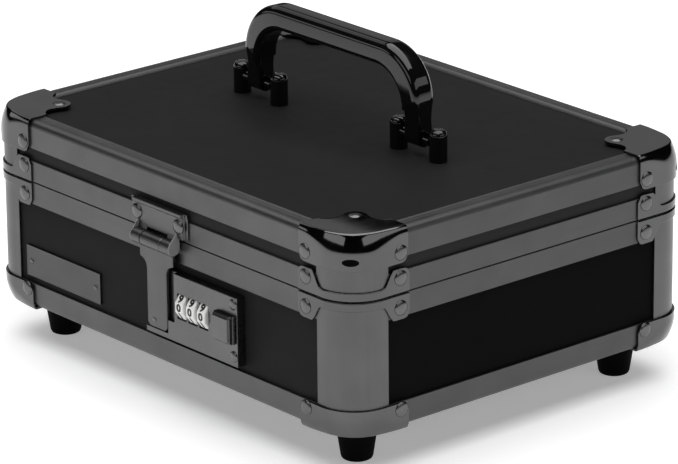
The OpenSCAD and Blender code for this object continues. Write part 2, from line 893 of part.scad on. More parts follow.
// Ten-sided number wheel.
module dial(i) {
    color("white") on_side(FRONT)
        translate([dial_first_x + i * dial_pitch - dial_w / 2, -dial_depth, dial_z])
            rotate([0, 90, 0]) difference() {
                rotate([0, 0, 18]) cylinder(h = dial_w, r = dial_r, $fn = 10);
                translate([0, 0, -1]) cylinder(h = dial_w + 2, r = axle_r + run_gap);
            }
}

module dial_1() { dial(0); }
module dial_2() { dial(1); }
module dial_3() { dial(2); }

module lock_slider() {
    gap = 0.3;
    bevel = 1.6;
    color(steel) union() {
        on_side(FRONT) translate([slider_x0, -lock_proud, slider_z0]) rotate([90, 0, 90])
            linear_extrude(slider_w) polygon([
                [-gap, 0], [-gap, slider_h], [-slider_proud + bevel, slider_h],
                [-slider_proud, slider_h - bevel], [-slider_proud, bevel],
                [-slider_proud + bevel, 0]
            ]);
        lock_box(stem_x0, stem_x0 + stem_w, bolt_front, lock_proud + gap + 0.4,
            dial_z - stem_h / 2, dial_z + stem_h / 2);
    }
}

module lock_bolt() {
    color(steel) union() {
        lock_box(bolt_tip_x, stem_x0 + stem_w, bolt_back, bolt_front, bolt_z0, bolt_z0 + bolt_h);
        lock_box(stem_x0, stem_x0 + stem_w, bolt_back, bolt_front, bolt_z0, dial_z + stem_h / 2);
    }
}

// ---- nameplate ----

name_x0 = -105.8;
name_x1 = -48.4;
name_z0 = z_bottom + 15.6;
name_h = 15.4;
name_t = 1.2;

module nameplate() {
    color(steel) lock_box(name_x0, name_x1, -rail_t, name_t - rail_t, name_z0, name_z0 + name_h);
}

module nameplate_pins() {
    d = 2.4;
    head_h = 0.5;
    inset_x = 3.7;
    bite = 1.5;
    color(steel) for (x = [name_x0 + inset_x, name_x1 - inset_x])
        on_side(FRONT) translate([x, rail_t - name_t, name_z0 + name_h / 2]) rotate([90, 0, 0])
            rivet(d, head_h, name_t + bite);
}

// ---- handle ----

pivot_z = z_panel + pivot_h;

module on_handle_posts() {
    for (s = [-1, 1], t = [-1, 1])
        translate([s * leg_pitch / 2 + t * post_pitch / 2, handle_y, 0]) children();
}

module handle_posts() {
    r = handle_post_d / 2;
    color(gunmetal) on_handle_posts() translate([0, 0, z_panel]) rotate_extrude() {
        square([r, handle_post_h - r]);
        intersection() {
            translate([0, handle_post_h - r]) circle(r);
            translate([0, handle_post_h - r - eps]) square(r + 1);
        }
    }
}

// Screw from inside the lid into each post, with its washer.
module handle_screws() {
    washer_t = 0.8;
    washer_d = 10;
    head_h = 1.8;
    head_d = 7;
    shank_d = 4;
    bite = 5;
    color(steel) on_handle_posts() {
        translate([0, 0, z_lid_board - washer_t]) cylinder(h = washer_t, d = washer_d);
        translate([0, 0, z_lid_board - washer_t - head_h]) cylinder(h = head_h + eps, d = head_d);
        translate([0, 0, z_lid_board - eps]) cylinder(h = board_t + bite, d = shank_d);
    }
}

pin_r = 2;
foot_w = leg_t + 0.4;

module handle_pins() {
    reach = post_pitch / 2 - 1.5;
    side_gap = 0.4;
    bite = 0.3;
    collar_from = foot_w / 2 + side_gap;
    collar_to = post_pitch / 2 - handle_post_d / 2 + bite;
    color(gunmetal) for (s = [-1, 1]) translate([s * leg_pitch / 2, handle_y, pivot_z]) {
        rotate([0, 90, 0]) cylinder(h = 2 * reach, r = pin_r, center = true);
        for (t = [0, 1]) mirror([t, 0, 0]) translate([collar_from, 0, 0]) rotate([0, 90, 0])
            cylinder(h = collar_to - collar_from, r = pin_r + 1);
    }
}

// Side view of the handle: legs, bends and bar as one bent strip, then the feet.
module handle_front_outline() {
    out_x = leg_pitch / 2 + leg_t / 2;
    in_x = leg_pitch / 2 - leg_t / 2;
    top = handle_h;
    under = handle_h - bar_h;
    bottom = pivot_h - leg_d / 2;
    in_r = inner_bend_r;
    difference() {
        union() {
            translate([-out_x, bottom]) square([2 * out_x, top - bend_r - bottom]);
            translate([-out_x + bend_r, bottom]) square([2 * (out_x - bend_r), top - bottom]);
            for (s = [-1, 1]) translate([s * (out_x - bend_r), top - bend_r]) circle(bend_r);
        }
        translate([-in_x, bottom - 1]) square([2 * in_x, under - in_r - bottom + 1]);
        translate([-in_x + in_r, bottom - 1]) square([2 * (in_x - in_r), under - bottom + 1]);
        for (s = [-1, 1]) translate([s * (in_x - in_r), under - in_r]) circle(in_r);
    }
    for (s = [-1, 1]) translate([s * leg_pitch / 2 - foot_w / 2, bottom]) square([foot_w, leg_d]);
}

// End view of the handle: round at the pivot, widening to the bar, bevelled on top.
module handle_side_outline() {
    bevel = 3;
    widening_below = 6;
    wide_from = handle_h - bar_h - widening_below;
    polygon([
        [-leg_d / 2, pivot_h], [leg_d / 2, pivot_h], [bar_d / 2, wide_from],
        [bar_d / 2, handle_h - bevel], [bar_d / 2 - bevel, handle_h],
        [-bar_d / 2 + bevel, handle_h], [-bar_d / 2, handle_h - bevel], [-bar_d / 2, wide_from]
    ]);
    translate([0, pivot_h]) circle(leg_d / 2);
}

module handle_grip() {
    reach = leg_pitch + 2 * leg_t;
    color(gunmetal) translate([0, handle_y, z_panel]) difference() {
        intersection() {
            rotate([90, 0, 0]) linear_extrude(2 * bar_d, center = true) handle_front_outline();
            rotate([90, 0, 90]) linear_extrude(reach, center = true) handle_side_outline();
        }
        translate([-reach / 2, 0, pivot_h]) rotate([0, 90, 0])
            cylinder(h = reach, r = pin_r + run_gap);
    }
}

base_bottom_panel();
base_front_panel();
base_back_panel();
base_left_panel();
base_right_panel();
base_bottom_rail_front();
base_bottom_rail_right();
base_bottom_rail_back();
base_bottom_rail_left();
base_rim_rail_front();
base_rim_rail_right();
base_rim_rail_back();
base_rim_rail_left();
base_corner_posts();
bottom_corner_caps();
base_rim_brackets();
base_rivets();
rubber_feet();
foot_screws();
base_lining();
tray_ledges();
money_tray();
lock_plate();
lock_case();
lock_rivets();
dial_axle();
nameplate();
nameplate_pins();
hinge_base_leaves();
hinge_pins();
lock_slider();
lock_bolt();
dial_1();
dial_2();
dial_3();
hasp_arm();
hasp_catch();
hasp_pin();
handle_grip();
lid_top_panel();
lid_side_panels();
lid_top_rail_front();
lid_top_rail_right();
lid_top_rail_back();
lid_top_rail_left();
lid_rim_rail_front();
lid_rim_rail_right();
lid_rim_rail_back();
lid_rim_rail_left();
lid_corner_posts();
top_corner_caps();
lid_rim_brackets();
lid_rivets();
handle_posts();
handle_pins();
handle_screws();
hasp_hinge_plate();
hasp_rivets();
hinge_lid_leaves();
lid_lining();
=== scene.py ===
"""Cash box in an aluminium frame: riveted corners, a carrying handle, a hasp and a three-wheel lock."""
from math import cos, pi, radians, sin, sqrt, tan

import bmesh
import bpy
from mathutils import Matrix, Vector


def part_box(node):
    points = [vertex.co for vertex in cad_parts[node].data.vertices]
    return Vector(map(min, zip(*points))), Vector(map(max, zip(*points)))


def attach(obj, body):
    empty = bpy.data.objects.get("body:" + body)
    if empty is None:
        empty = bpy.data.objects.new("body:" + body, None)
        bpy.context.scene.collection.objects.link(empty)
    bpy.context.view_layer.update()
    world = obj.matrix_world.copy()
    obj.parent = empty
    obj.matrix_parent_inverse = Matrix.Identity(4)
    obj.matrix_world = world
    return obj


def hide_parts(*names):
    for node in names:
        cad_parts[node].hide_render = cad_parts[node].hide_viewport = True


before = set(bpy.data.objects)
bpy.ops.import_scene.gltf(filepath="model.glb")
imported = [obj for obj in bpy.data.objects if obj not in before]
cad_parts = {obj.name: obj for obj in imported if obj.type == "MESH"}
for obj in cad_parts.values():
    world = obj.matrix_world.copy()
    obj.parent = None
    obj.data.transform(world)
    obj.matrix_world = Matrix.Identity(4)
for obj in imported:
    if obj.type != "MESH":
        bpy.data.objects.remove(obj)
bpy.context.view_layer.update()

MM = 0.001
SIDES = ("front", "right", "back", "left")
FRONT, BACK = 0, 2


def mm_box(node):
    """Lowest and highest corner of a CAD node, in millimetres."""
    low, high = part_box(node)
    return low / MM, high / MM


# ---- places in millimetres, from the frame where it has them ----

HALF_X, HALF_Y = mm_box("base_corner_posts")[1].xy
TOP = mm_box("lid_top_rail_front")[1].z
PANEL = mm_box("lid_top_panel")[1].z
BOTTOM = mm_box("base_bottom_rail_front")[0].z
LID_RIM = mm_box("lid_rim_brackets")[0].z
BASE_RIM = mm_box("base_rim_brackets")[1].z
POST_WING = HALF_X - mm_box("lid_top_rail_front")[1].x
CORNER_R = 18.5
TOP_RIVET_INSET = 24.6


# ---- solids: each is (vertices in millimetres, faces) ----

def smoothstep(low, high, value):
    """Soft step from 0 at low to 1 at high."""
    t = min(1.0, max(0.0, (value - low) / (high - low)))
    return t * t * (3 - 2 * t)


def blend(a, b, t):
    return a + (b - a) * t


def curve_through(start, pull, end, t):
    """Number at t on a curve from start to end that is drawn towards pull."""
    return (1 - t) ** 2 * start + 2 * t * (1 - t) * pull + t * t * end


def loft(rings, closed=False):
    """Skin over equal closed rings of points, with flat ends unless the last ring meets the first."""
    size, count = len(rings[0]), len(rings)
    verts = [p for ring in rings for p in ring]
    faces = []
    for a in range(count if closed else count - 1):
        b = (a + 1) % count
        for k in range(size):
            m = (k + 1) % size
            faces.append((a * size + k, a * size + m, b * size + m, b * size + k))
    if not closed:
        faces.append(tuple(reversed(range(size))))
        faces.append(tuple(range((count - 1) * size, count * size)))
    return verts, faces


def prism(outline, low, high, place):
    """Outline of (a, b) points pushed from low to high; place turns (a, b, height) into a point."""
    return loft([[place(a, b, h) for a, b in outline] for h in (low, high)])


def turned(profile, place, sides=32, closed=False, turn=0.0):
    """Solid of revolution from (radius, height) points; place turns (a, b, height) into a point."""
    angles = [2 * pi * k / sides + turn for k in range(sides)]
    return loft([[place(r * cos(t), r * sin(t), h) for t in angles] for r, h in profile], closed)


def arc(cx, cy, radius, start, end, steps):
    """Points along an arc, angles in degrees."""
    angles = [radians(start + (end - start) * k / steps) for k in range(steps + 1)]
    return [(cx + radius * cos(t), cy + radius * sin(t)) for t in angles]


def on_side(side, along, out, z):
    """Point at a place along a side of the case, out from its face."""
    half = (HALF_Y, HALF_X)[side % 2] + out
    return [(along, -half, z), (half, along, z), (-along, half, z), (-half, -along, z)][side]


def outwards(side, along, z):
    """Places a turned solid's axis outwards on a side."""
    return lambda a, b, h: on_side(side, along + a, h, z + b)


def upwards(x, y, z):
    """Places a turned solid's axis upwards."""
    return lambda a, b, h: (x + a, y + b, z + h)


def along_x(y, z):
    """Places a turned solid's axis along X."""
    return lambda a, b, h: (h, y + a, z + b)


def pushed_out(along, z, out):
    """Places an outline of (along, height) points that is pushed outwards from the front."""
    return on_side(FRONT, along, out, z)


def pushed_along(out, z, along):
    """Places an outline of (out, height) points that is pushed along the front."""
    return on_side(FRONT, along, out, z)


CORNERS = [(sx, sy) for sx in (-1, 1) for sy in (-1, 1)]


def in_corner(corner, u, v, z):
    """Point u inwards from the case's left or right face and v inwards from its front or back face."""
    return (corner[0] * (HALF_X - u), corner[1] * (HALF_Y - v), z)


QUARTER = CORNER_R * pi / 4


def wrap(s, out):
    """(u, v) at s along the corner's face from its middle, and out from the face."""
    if abs(s) <= QUARTER:
        turn = pi / 4 * (1 - s / QUARTER)
        reach = CORNER_R + out
        return CORNER_R - reach * sin(turn), CORNER_R - reach * cos(turn)
    straight = CORNER_R + abs(s) - QUARTER
    return (straight, -out) if s > 0 else (-out, straight)


def from_corner(s):
    """Distance in from the corner at a place along it, shared out evenly round the bend."""
    return CORNER_R + abs(s) - QUARTER if abs(s) > QUARTER else abs(s) / QUARTER * CORNER_R


# ---- materials ----

class Nodes:
    """A material's node tree with short helpers."""

    noise_low, noise_high = 0.3, 0.7

    def __init__(self, name, colour, metallic, roughness, **sockets):
        self.material = bpy.data.materials.new(name)
        self.material.use_nodes = True
        self.tree = self.material.node_tree
        self.shader = self.tree.nodes["Principled BSDF"]
        self.shader.inputs["Base Color"].default_value = (*colour, 1)
        self.shader.inputs["Metallic"].default_value = metallic
        self.shader.inputs["Roughness"].default_value = roughness
        for socket, value in sockets.items():
            self.shader.inputs[socket.replace("_", " ")].default_value = value
        self.colour, self.roughness = colour, roughness

    def add(self, kind):
        return self.tree.nodes.new(kind)

    def link(self, a, b):
        self.tree.links.new(a, b)

    def noise(self, scale, stretch=(1, 1, 1), detail=4.0):
        """Noise over the object, stretched along each axis."""
        place = self.add("ShaderNodeTexCoord")
        mapping = self.add("ShaderNodeMapping")
        mapping.inputs["Scale"].default_value = stretch
        texture = self.add("ShaderNodeTexNoise")
        texture.inputs["Scale"].default_value = scale
        texture.inputs["Detail"].default_value = detail
        self.link(place.outputs["Object"], mapping.inputs["Vector"])
        self.link(mapping.outputs["Vector"], texture.inputs["Vector"])
        return texture.outputs["Fac"]

    def vary_colour(self, factor, spread):
        """Base colour from spread darker to spread lighter."""
        ramp = self.add("ShaderNodeValToRGB")
        ends = ramp.color_ramp.elements
        ends[0].position, ends[1].position = self.noise_low, self.noise_high
        ends[0].color = (*[c * (1 - spread) for c in self.colour], 1)
        ends[1].color = (*[c * (1 + spread) for c in self.colour], 1)
        self.link(factor, ramp.inputs["Fac"])
        self.link(ramp.outputs["Color"], self.shader.inputs["Base Color"])

    def vary_roughness(self, factor, spread):
        """Roughness from spread smoother to spread rougher."""
        smoothest = 0.02
        spanned = self.add("ShaderNodeMapRange")
        spanned.inputs["From Min"].default_value = self.noise_low
        spanned.inputs["From Max"].default_value = self.noise_high
        spanned.inputs["To Min"].default_value = max(smoothest, self.roughness - spread)
        spanned.inputs["To Max"].default_value = self.roughness + spread
        self.link(factor, spanned.inputs["Value"])
        self.link(spanned.outputs["Result"], self.shader.inputs["Roughness"])

    def bump(self, factor, depth):
        """Relief of a depth in metres."""
        node = self.add("ShaderNodeBump")
        node.inputs["Strength"].default_value = 1.0
        node.inputs["Distance"].default_value = depth
        self.link(factor, node.inputs["Height"])
        self.link(node.outputs["Normal"], self.shader.inputs["Normal"])


def brushed(name, colour, along, roughness, spread, streaks=900):
    """Metal drawn along one axis."""
    streak_share = 0.02
    made = Nodes(name, colour, 1.0, roughness)
    stretch = tuple(streak_share if axis == along else 1.0 for axis in "xyz")
    lines = made.noise(streaks, stretch)
    made.vary_colour(lines, spread)
    made.vary_roughness(made.noise(60), 0.05)
    made.bump(lines, 2e-6)
    return made.material


def polished(name, colour, roughness, metallic=1.0):
    """Smooth metal or gloss paint with faint smudges."""
    smudge = 0.03
    made = Nodes(name, colour, metallic, roughness)
    made.vary_colour(made.noise(35), smudge * 3)
    made.vary_roughness(made.noise(90), smudge)
    made.bump(made.noise(400, detail=2), 1e-6)
    return made.material


def pebbled(name, colour, roughness, grain, depth, spread=0.15, **sockets):
    """Matt or satin plastic, rubber or laminate with a fine grain."""
    made = Nodes(name, colour, 0.0, roughness, **sockets)
    made.vary_colour(made.noise(25), spread)
    made.vary_roughness(made.noise(120), 0.05)
    made.bump(made.noise(grain, detail=2), depth)
    return made.material


# The rails along Y are drawn along Y and are a darker copy of the same aluminium: painted shade for the
# left and right sides, which turn away from the lights.
rail_x = brushed("rail_metal_x", (0.105, 0.105, 0.107), "x", 0.42, 0.02)
rail_y_shaded = brushed("rail_metal_y_shaded", (0.085, 0.085, 0.087), "y", 0.42, 0.02)
post_z = brushed("post_metal_z", (0.11, 0.11, 0.112), "z", 0.38, 0.03, streaks=420)
dark_chrome = polished("dark_chrome", (0.1, 0.1, 0.102), 0.09)
bracket_metal = polished("bracket_metal", (0.1, 0.1, 0.102), 0.18)
rivet_metal = polished("rivet_metal", (0.12, 0.12, 0.122), 0.25)
lock_metal = polished("lock_metal", (0.115, 0.115, 0.117), 0.28)
hinge_metal = polished("hinge_metal", (0.105, 0.105, 0.107), 0.36)
# Lighter copy of the hinge metal for the hasp knuckles' end faces: painted light on faces that turn to the
# right.
lit_satin_metal = polished("lit_satin_metal", (0.3, 0.3, 0.303), 0.6, metallic=0.4)
plate_metal = brushed("plate_metal", (0.078, 0.078, 0.08), "x", 0.36, 0.03)
# Darker copy of the black laminate, with less shine, for the base's left and right panels: painted shade
# for the sides that turn away from the lights.
shaded_side_laminate = pebbled("shaded_side_laminate", (0.005, 0.005, 0.0053), 0.5, 1500, 1.2e-5, spread=0.04,
                        Specular_IOR_Level=0.01)
laminate = pebbled("black_laminate", (0.0155, 0.0155, 0.016), 0.5, 1500, 1.2e-5, spread=0.04,
                   Specular_IOR_Level=0.03)
# Lighter copy of the black laminate for the lid's side panels: painted light.
lit_lid_laminate = pebbled("lit_lid_laminate", (0.027, 0.027, 0.0275), 0.5, 1500, 1.2e-5, spread=0.04,
                       Specular_IOR_Level=0.03)
gloss_black = polished("gloss_black", (0.003, 0.003, 0.0032), 0.06, metallic=0.0)
rubber = pebbled("black_rubber", (0.0015, 0.0015, 0.0015), 0.7, 2500, 1e-5, Specular_IOR_Level=0.04)
dial_white = pebbled("dial_white", (0.82, 0.82, 0.8), 0.35, 1800, 2e-6, spread=0.03)
ink = pebbled("black_ink", (0.008, 0.008, 0.008), 0.5, 2500, 2e-6)
tray_plastic = pebbled("tray_plastic", (0.022, 0.022, 0.024), 0.45, 1200, 2e-5)
felt = pebbled("lining_felt", (0.022, 0.022, 0.025), 0.95, 3200, 8e-5, spread=0.3, Sheen_Weight=0.5)
shadow_black = pebbled("shadow_black", (0.002, 0.002, 0.002), 0.8, 2500, 2e-6, Specular_IOR_Level=0.02)


# ---- pieces ----

def dress(obj, bevel, segments=2, weld=False):
    """Rounded edges and weighted normals, as modifiers."""
    obj.data.polygons.foreach_set("use_smooth", [True] * len(obj.data.polygons))
    if weld:
        obj.modifiers.new("weld", "WELD").merge_threshold = 1e-6
    if bevel:
        rounding = obj.modifiers.new("bevel", "BEVEL")
        rounding.width, rounding.segments = bevel * MM, segments
        rounding.limit_method, rounding.angle_limit = "ANGLE", radians(32)
        rounding.miter_outer = "MITER_ARC"
    obj.modifiers.new("normals", "WEIGHTED_NORMAL").keep_sharp = True


def piece(name, solids, material, body, replaces=(), bevel=0.3, segments=2):
    """One piece of the object from several closed solids."""
    bm = bmesh.new()
    for verts, faces in solids:
        made = [bm.verts.new(Vector(v) * MM) for v in verts]
        for face in faces:
            bm.faces.new([made[k] for k in face])
    bmesh.ops.remove_doubles(bm, verts=bm.verts, dist=1e-7)
    bmesh.ops.recalc_face_normals(bm, faces=bm.faces)
    mesh = bpy.data.meshes.new(name)
    bm.to_mesh(mesh)
    bm.free()
    mesh.materials.append(material)
    obj = bpy.data.objects.new(name, mesh)
    bpy.context.scene.collection.objects.link(obj)
    dress(obj, bevel, segments)
    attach(obj, body)
    if replaces:
        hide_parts(*replaces)


def keep_node(node, material, bevel):
    """A CAD node that stays, with its material and softened edges."""
    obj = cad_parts[node]
    obj.data.materials.clear()
    obj.data.materials.append(material)
    dress(obj, bevel, weld=True)


# ---- camera ----

def make_camera():
    """Looks at the case from its front right corner, a little from above."""
    azimuth, elevation, roll = radians(49.735), radians(19.498), radians(-0.539)
    distance, shift_right, shift_up = 2224.4, 2.28, -51.32
    lens = 249.57
    back = Vector((sin(azimuth) * cos(elevation), -cos(azimuth) * cos(elevation), sin(elevation)))
    level_right = Vector((cos(azimuth), sin(azimuth), 0))
    level_up = back.cross(level_right)
    right = cos(roll) * level_right + sin(roll) * level_up
    up = cos(roll) * level_up - sin(roll) * level_right
    data = bpy.data.cameras.new("camera")
    data.lens, data.sensor_width = lens, 36
    data.clip_start, data.clip_end = 0.1, 50
    camera = bpy.data.objects.new("camera", data)
    bpy.context.scene.collection.objects.link(camera)
    centre = Vector((0, 0, TOP)) + back * distance + right * shift_right + up * shift_up
    camera.location = centre * MM
    camera.rotation_mode = "QUATERNION"
    camera.rotation_quaternion = Matrix((right, up, back)).transposed().to_quaternion()
    bpy.context.scene.camera = camera


# ---- floor and lights ----

def area_light(name, azimuth, elevation, distance, size, watts):
    """Soft box that faces the case; azimuth 0 is in front of it and 90 to its right."""
    aim = Vector((0, 0, 0.08))
    a, e = radians(azimuth), radians(elevation)
    back = Vector((sin(a) * cos(e), -cos(a) * cos(e), sin(e)))
    data = bpy.data.lights.new(name, "AREA")
    data.shape, data.size, data.size_y, data.energy = "RECTANGLE", size[0], size[1], watts
    light = bpy.data.objects.new(name, data)
    light.location = back * distance + aim
    light.rotation_mode = "QUATERNION"
    light.rotation_quaternion = (-back).to_track_quat("-Z", "Y")
    bpy.context.scene.collection.objects.link(light)


def make_studio():
    """Pale floor, large soft lights and an almost black surround."""
    floor_reach, surround = 6.0, 0.01
    bm = bmesh.new()
    bmesh.ops.create_grid(bm, x_segments=8, y_segments=8, size=floor_reach)
    mesh = bpy.data.meshes.new("floor")
    bm.to_mesh(mesh)
    bm.free()
    floor = bpy.data.objects.new("floor", mesh)
    bpy.context.scene.collection.objects.link(floor)
    mesh.materials.append(pebbled("floor_white", (0.9, 0.9, 0.9), 0.8, 60, 1e-5, spread=0.01,
                                  Emission_Color=(1, 1, 1, 1), Emission_Strength=0.32))

    # The windows show in the caps, the far panel lights the flat tops and the strips light the round edges.
    area_light("overhead", 0, 90, 2.35, (3.3, 3.3), 96)
    area_light("window_left", 0, 22, 1.8, (1.57, 0.45), 2.8)
    area_light("window_right", 104, 22, 1.8, (1.96, 0.45), 3.4)
    area_light("far_panel", 229, 24, 2.6, (2.6, 0.9), 2.4)
    area_light("left_strip", -90, 40, 2.2, (1.3, 0.9), 2.6)
    area_light("low_strip", -52, 8, 1.8, (1.0, 0.2), 0.75)

    world = bpy.data.worlds.new("studio")
    bpy.context.scene.world = world
    world.use_nodes = True
    world.node_tree.nodes["Background"].inputs["Color"].default_value = (surround, surround, surround, 1)
    bpy.context.scene.view_settings.view_transform = "Standard"


# ---- rails ----

RAIL_T = 1.4
RAIL_W = 10.8
EDGE_R = 3.3


def rail(side, name, profile, body, bevel):
    """Profile of (inwards, height) points swept along a side between the corner posts."""
    length = (HALF_X, HALF_Y)[side % 2] - POST_WING
    solid = loft([[on_side(side, s * length, -d, z) for d, z in profile] for s in (-1, 1)])
    node = f"{name}_{SIDES[side]}"
    # Rails along Y take the darker copy of the metal: painted shade.
    metal = (rail_x, rail_y_shaded)[side % 2]
    piece(f"{node}_drawn", [solid], metal, body, [node], bevel)


def top_rail_profile():
    """Flat side, round edge, a narrow groove and a raised lip that slopes down to the panel."""
    low = mm_box("lid_top_rail_front")[0].z
    groove_mid, groove_depth, groove_floor, groove_mouth = 5.5, 0.18, 0.2, 0.9
    lip_height, under = 0.35, PANEL - 0.02
    edge = list(reversed(arc(EDGE_R, TOP - EDGE_R, EDGE_R, 90, 180, 8)))
    groove = [
        (groove_mid - groove_mouth, TOP), (groove_mid - groove_floor, TOP - groove_depth),
        (groove_mid + groove_floor, TOP - groove_depth), (groove_mid + groove_mouth, TOP)
    ]
    lip = [(RAIL_W - 2.6, TOP), (RAIL_W - 2.2, TOP + lip_height), (RAIL_W - 1.8, TOP + lip_height)]
    slope = [(RAIL_W - 0.9, TOP - 0.15), (RAIL_W - 0.2, PANEL + 0.3), (RAIL_W, under)]
    return [(0, low), *edge, *groove, *lip, *slope, (RAIL_T, under), (RAIL_T, low)]


def bottom_rail_profile():
    """Angle with a round lower edge."""
    high = mm_box("base_bottom_rail_front")[1].z
    edge = arc(EDGE_R, BOTTOM + EDGE_R, EDGE_R, 180, 270, 8)
    return [(0, high), *edge, (RAIL_W, BOTTOM), (RAIL_W, BOTTOM + RAIL_T), (RAIL_T, BOTTOM + RAIL_T),
            (RAIL_T, high)]


def make_rails():
    for side in range(4):
        rail(side, "lid_top_rail", top_rail_profile(), "lid", 0.12)
        rail(side, "base_bottom_rail", bottom_rail_profile(), "base", 0.2)
        # Rim rails along Y take the darker copy of the metal: painted shade.
        metal = (rail_x, rail_y_shaded)[side % 2]
        for node in ("lid_rim_rail", "base_rim_rail"):
            keep_node(f"{node}_{SIDES[side]}", metal, 0.3)
    keep_node("lid_corner_posts", post_z, 0.2)
    keep_node("base_corner_posts", post_z, 0.2)


# ---- corner caps ----

CAP_T = 1.2
CAP_REACH = 33.6


def cap_stations(reach):
    """Places along the corner, close together round the bend."""
    bend_steps, wing_steps = 14, 10
    straight = QUARTER + reach - CORNER_R
    bend = [QUARTER * k / bend_steps for k in range(-bend_steps, bend_steps + 1)]
    wing = [blend(QUARTER, straight, k / wing_steps) for k in range(1, wing_steps + 1)]
    return [-s for s in reversed(wing)] + bend + wing


def tongue_end(s, reach):
    """(u, v) where the cap's top ends: round the top rivet, then in a curve to the rail's inner edge."""
    round_r, last_angle, round_share = 5.6, -25, 0.35
    pull, end = (25.8, 13.2), (reach, RAIL_W - 0.6)
    t = abs(s) / (QUARTER + reach - CORNER_R)
    angle = radians(blend(45, last_angle, min(1.0, t / round_share)))
    far, near = TOP_RIVET_INSET + round_r * cos(angle), TOP_RIVET_INSET + round_r * sin(angle)
    if t > round_share:
        k = (t - round_share) / (1 - round_share)
        far, near = curve_through(far, pull[0], end[0], k), curve_through(near, pull[1], end[1], k)
    return (far, near) if s >= 0 else (near, far)


def cap_wall(height, ballness):
    """Outline of the cap's wall and rolled edge as (inset, height) points, from its foot to its top.

    The wall is upright up to a knee, goes on as a slanted face and ends in a narrow roll. The knee is low
    round the corner and close to the top at the wings.
    """
    knee_tilt, top_tilt, knee_share, wall_share, roll = radians(12), radians(26), 0.35, 0.6, 1.4
    wing_knee, corner_knee = CAP_T - 4.2, -9.6
    lean_steps, roll_steps = 10, 7
    start = blend(wing_knee, corner_knee, ballness)
    lean_to = CAP_T - roll * (1 - sin(top_tilt))
    inset = 0.0
    outline = [(0, -height), (0, blend(-height, start, wall_share)), (0, start)]
    for k in range(1, lean_steps + 1):
        t = (k - 0.5) / lean_steps
        if t < knee_share:
            tilt = knee_tilt * t / knee_share
        else:
            tilt = blend(knee_tilt, top_tilt, (t - knee_share) / (1 - knee_share))
        inset += (lean_to - start) / lean_steps * tan(tilt)
        outline.append((inset, blend(start, lean_to, k / lean_steps)))
    for k in range(1, roll_steps + 1):
        angle = blend(top_tilt, pi / 2, k / roll_steps)
        inwards, up = cos(top_tilt) - cos(angle), sin(angle) - sin(top_tilt)
        outline.append((inset + roll * inwards, lean_to + roll * up))
    return outline


def end_drop(s, straight, end_r):
    """How much lower a wing's rounded end is at a place along it."""
    past = max(0.0, abs(s) - (straight - end_r))
    return end_r - sqrt(max(0.0, end_r ** 2 - past ** 2))


def cap_solid(corner, height, place_z):
    """Pressed cap: a wall round the corner, a rolled edge and a flat top that ends in a tongue.

    Heights run from 0 at the rails' face; place_z turns them into z.
    """
    end_r, sheet, clear, flat_steps = 4.0, 0.5, 0.02, 8
    straight = QUARTER + CAP_REACH - CORNER_R
    rings = []
    for s in cap_stations(CAP_REACH):
        ballness = 1 - smoothstep(QUARTER * 0.5, straight * 0.9, abs(s))
        lowest = end_drop(s, straight, end_r) - height
        outer = [(inset, max(z, lowest)) for inset, z in cap_wall(height, ballness)]
        skin = [(*wrap(s, CAP_T - inset), z) for inset, z in outer]
        top_from, top_to = Vector(skin[-1][:2]), Vector(tongue_end(s, CAP_REACH))
        flat = [(*top_from.lerp(top_to, k / flat_steps), CAP_T) for k in range(1, flat_steps + 1)]
        under = [(u, v, 0.0) for u, v, _ in reversed(flat)]
        lining = [(*wrap(s, min(clear, CAP_T - sheet - inset)), min(z, -clear))
                  for inset, z in reversed(outer)]
        rings.append([in_corner(corner, u, v, place_z(z)) for u, v, z in skin + flat + under + lining])
    return loft(rings)


def cap_slot(corner):
    """Black oval sheet on a top cap's wall: painted shade that stands for a slot."""
    middle, half_w, half_h, steps = TOP - 11.4, 3.6, 1.7, 3
    back, front = CAP_T - 0.2, CAP_T + 0.06
    rings = []
    for k in range(-steps, steps + 1):
        s = half_w * k / steps
        h = half_h * sqrt(1 - (k / (steps + 0.2)) ** 2)
        rings.append([in_corner(corner, *wrap(s, out), middle + z)
                      for out, z in ((back, -h), (front, -h), (front, h), (back, h))])
    return loft(rings)


def make_caps():
    top_h = TOP - mm_box("top_corner_caps")[0].z
    bottom_h = mm_box("bottom_corner_caps")[1].z - BOTTOM
    piece("top_corner_caps_pressed", [cap_solid(c, top_h, lambda z: TOP + z) for c in CORNERS],
          dark_chrome, "lid", ["top_corner_caps"], 0.3)
    piece("bottom_corner_caps_pressed", [cap_solid(c, bottom_h, lambda z: BOTTOM - z) for c in CORNERS],
          dark_chrome, "base", ["bottom_corner_caps"], 0.3)
    # Black oval sheets on the top caps' walls: painted shade for slots.
    piece("cap_slot_shades", [cap_slot(c) for c in CORNERS], shadow_black, "lid", bevel=0)


# ---- rim brackets ----

BRACKET_T = 0.9


def bracket_solid(corner, place_z):
    """Saddle bracket: a narrow strip round the corner that rises to a wing on each side."""
    strip_h, wing_h, reach, end_r, edge = 4.2, 12.0, 34.6, 3.2, 0.25
    rise_from, rise_to, back = 19.2, 25.4, 0.02
    straight = QUARTER + reach - CORNER_R
    rings = []
    for s in cap_stations(reach):
        high = blend(strip_h, wing_h, smoothstep(rise_from, rise_to, from_corner(s)))
        high -= end_drop(s, straight, end_r)
        section = [(back, edge), (BRACKET_T - edge, edge), (BRACKET_T, 2 * edge), (BRACKET_T, high / 2),
                   (BRACKET_T, high - edge), (BRACKET_T - edge, high), (back, high)]
        rings.append([in_corner(corner, *wrap(s, out), place_z(z)) for out, z in section])
    return loft(rings)


